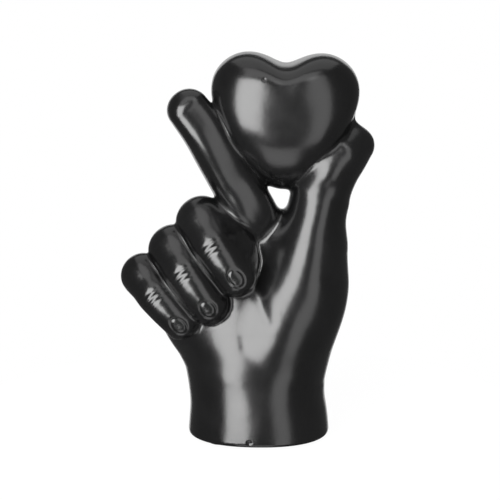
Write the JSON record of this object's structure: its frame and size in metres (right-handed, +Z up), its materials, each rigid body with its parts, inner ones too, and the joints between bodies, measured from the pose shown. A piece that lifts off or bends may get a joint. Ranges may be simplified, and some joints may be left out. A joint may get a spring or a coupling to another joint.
{
  "type": "hand sculpture",
  "caption": "Glazed ceramic hand standing on its wrist, three fingers folded onto the palm, holding a full rounded heart between forefinger and thumb.",
  "frame": {"origin": "under the middle of the whole, seen from above, on the plane that the felt pads rest on", "axes": "+Z up from the foot to the heart; the palm and the folded fingers face -Y; the thumb is on the +X side"},
  "size_m": [0.1294, 0.0636, 0.2014],
  "materials": {
    "black_glaze": "black glaze with a soft gloss, fired over a cast clay body",
    "black_felt": "thin pressed wool felt disc, self-adhesive"
  },
  "bodies": {
    "root": {"hand_shell": "black_glaze", "index_finger": "black_glaze", "middle_finger": "black_glaze", "ring_finger": "black_glaze", "little_finger": "black_glaze", "heart": "black_glaze", "felt_pad_front_left": "black_felt", "felt_pad_front_right": "black_felt", "felt_pad_back_left": "black_felt", "felt_pad_back_right": "black_felt"}
  },
  "joints": []
}
